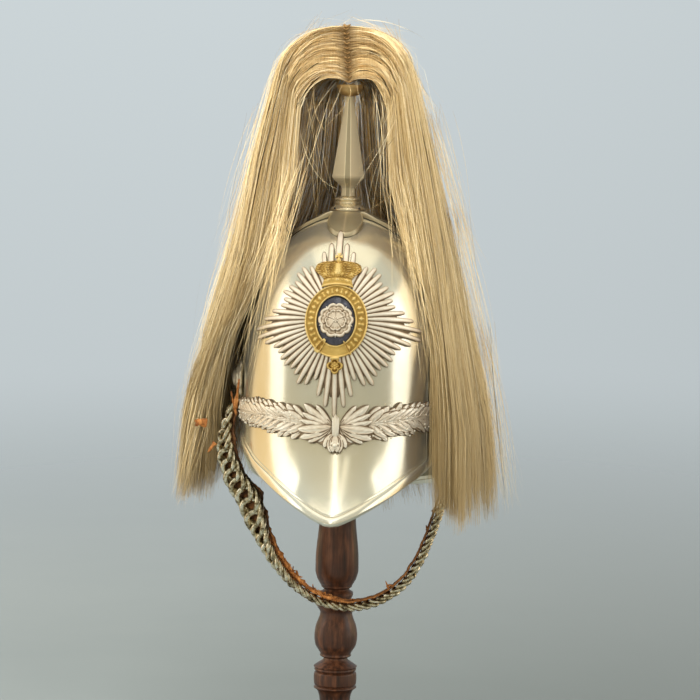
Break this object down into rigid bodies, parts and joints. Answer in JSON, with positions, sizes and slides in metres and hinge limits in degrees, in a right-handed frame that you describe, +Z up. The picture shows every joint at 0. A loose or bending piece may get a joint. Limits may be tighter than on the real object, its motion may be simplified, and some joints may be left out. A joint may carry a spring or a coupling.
{
  "type": "cavalry helmet on a turned wooden stand",
  "caption": "Metal cavalry helmet with a star plate, leaf wreath, spike, horsehair plume and curb chin chain, held on a dark turned wooden stand.",
  "frame": {"origin": "centre of the underside of the stand's foot", "axes": "+Z up along the pole, -Y towards the front of the helmet, +X to the right of someone facing the front"},
  "size_m": [0.2824, 0.3414, 0.6325],
  "materials": {
    "silver_plate": "polished white metal, softly worn, with fine scratches",
    "worn_silver": "struck white metal, dull in the hollows",
    "gilt": "gilt brass, matt ground with burnished edges",
    "enamel": "dark glossy enamel",
    "horsehair": "combed blond horsehair",
    "chain_metal": "worn plated curb chain",
    "leather": "torn orange-brown leather with a rough face",
    "turned_wood": "dark stained and waxed turned hardwood"
  },
  "bodies": {
    "root": {"skull": "silver_plate", "peak_binding": "silver_plate", "star_plate": "worn_silver", "belt_ring": "gilt", "belt_drop": "gilt", "enamel_oval": "enamel", "rose": "worn_silver", "crown": "gilt", "wreath": "worn_silver", "crosspiece": "silver_plate", "spike_collar": "silver_plate", "spike": "silver_plate", "plume_cup": "gilt", "plume": "horsehair", "boss_left": "gilt", "boss_right": "gilt", "chain_links": "chain_metal", "chain_band": "chain_metal", "chain_leather": "leather", "stand_base": "turned_wood", "stand_pole": "turned_wood", "stand_head": "turned_wood"}
  },
  "joints": []
}
